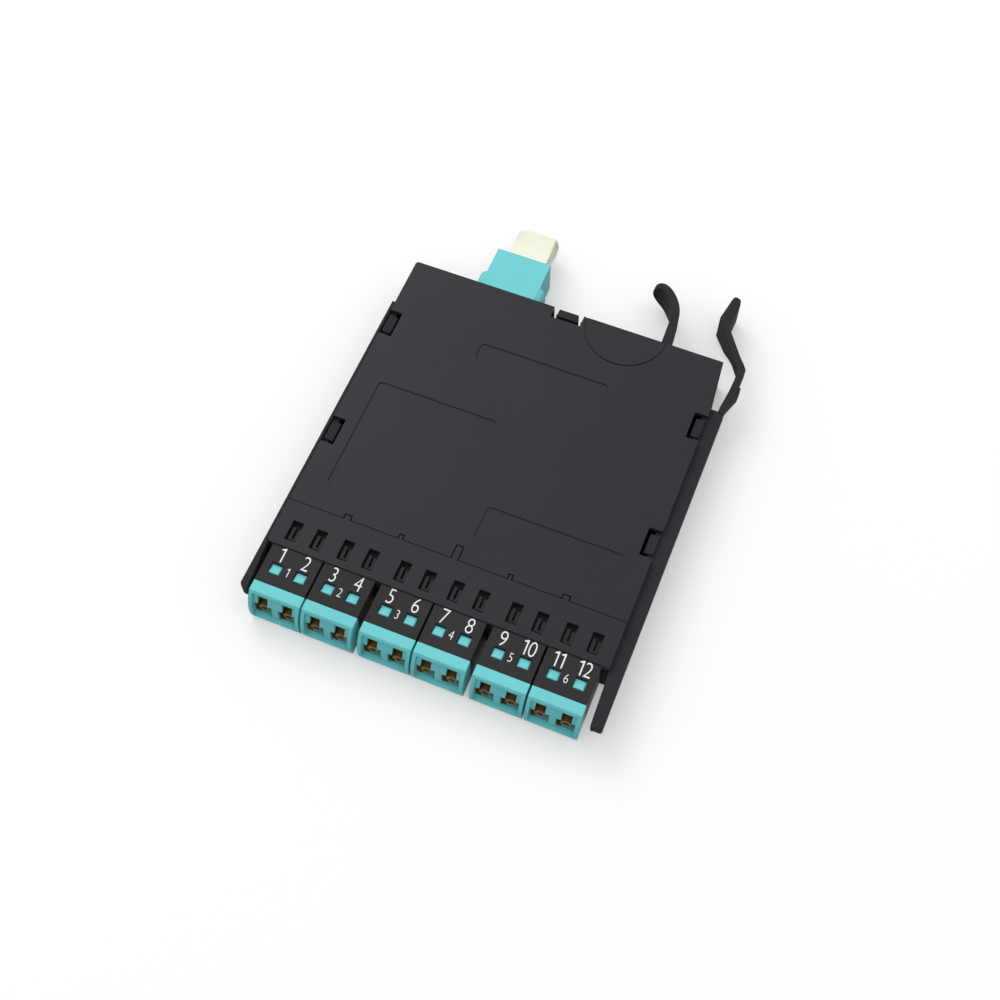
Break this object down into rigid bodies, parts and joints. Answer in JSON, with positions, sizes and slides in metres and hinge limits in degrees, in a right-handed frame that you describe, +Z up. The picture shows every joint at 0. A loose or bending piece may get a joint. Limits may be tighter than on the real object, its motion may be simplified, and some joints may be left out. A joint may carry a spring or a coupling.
{
  "type": "fibre cassette",
  "caption": "Flat plug-in fibre cassette with a row of duplex ports in front, slide rails along its sides, a sprung release arm and a capped multi-fibre port at the rear.",
  "frame": {"origin": "on the underside of the housing, at its centre in width and depth", "axes": "+X along the port row from the first port to the last, +Y from the ports to the rear, +Z up"},
  "size_m": [0.0902, 0.1251, 0.011],
  "materials": {
    "dark_housing": "fine matte",
    "dark_cover": "fine matte",
    "black_plate": "satin",
    "aqua_shell": "semi-gloss",
    "bronze_core": "satin",
    "ivory_cap": "semi-gloss",
    "ceramic": "smooth ceramic",
    "pale_plug": "satin",
    "dark_plug": "satin",
    "fibre_jacket": "satin"
  },
  "bodies": {
    "cassette": {"base_housing": "dark_housing", "top_cover": "dark_cover", "front_strip": "dark_cover", "trunk_adapter": "aqua_shell", "trunk_plug": "dark_plug", "trunk_ribbon": "fibre_jacket", "fanout_block": "dark_plug", "lc_adapter_1": "aqua_shell", "port_core_1": "bronze_core", "number_plate_1": "black_plate", "fibre_pair_1": "fibre_jacket", "lc_adapter_2": "aqua_shell", "port_core_2": "bronze_core", "number_plate_2": "black_plate", "fibre_pair_2": "fibre_jacket", "lc_adapter_3": "aqua_shell", "port_core_3": "bronze_core", "number_plate_3": "black_plate", "fibre_pair_3": "fibre_jacket", "lc_adapter_4": "aqua_shell", "port_core_4": "bronze_core", "number_plate_4": "black_plate", "fibre_pair_4": "fibre_jacket", "lc_adapter_5": "aqua_shell", "port_core_5": "bronze_core", "number_plate_5": "black_plate", "fibre_pair_5": "fibre_jacket", "lc_adapter_6": "aqua_shell", "port_core_6": "bronze_core", "number_plate_6": "black_plate", "fibre_pair_6": "fibre_jacket", "sleeve_1": "ceramic", "inner_plug_1": "pale_plug", "sleeve_2": "ceramic", "inner_plug_2": "pale_plug", "sleeve_3": "ceramic", "inner_plug_3": "pale_plug", "sleeve_4": "ceramic", "inner_plug_4": "pale_plug", "sleeve_5": "ceramic", "inner_plug_5": "pale_plug", "sleeve_6": "ceramic", "inner_plug_6": "pale_plug", "sleeve_7": "ceramic", "inner_plug_7": "pale_plug", "sleeve_8": "ceramic", "inner_plug_8": "pale_plug", "sleeve_9": "ceramic", "inner_plug_9": "pale_plug", "sleeve_10": "ceramic", "inner_plug_10": "pale_plug", "sleeve_11": "ceramic", "inner_plug_11": "pale_plug", "sleeve_12": "ceramic", "inner_plug_12": "pale_plug"},
    "release_arm": {"release_arm": "dark_housing"},
    "dust_cap": {"dust_cap": "ivory_cap"}
  },
  "joints": [
    {"name": "release_arm_flex", "type": "hinge", "parent": "cassette", "child": "release_arm", "pos_m": [0.04475, 0.0304, 0.0079], "axis": [0, 0, 1], "range_deg": [0, 6], "stiffness_Nm_per_rad": 0.6},
    {"name": "dust_cap_pull", "type": "slide", "parent": "cassette", "child": "dust_cap", "axis": [0, 1, 0], "range_m": [0, 0.03]}
  ]
}
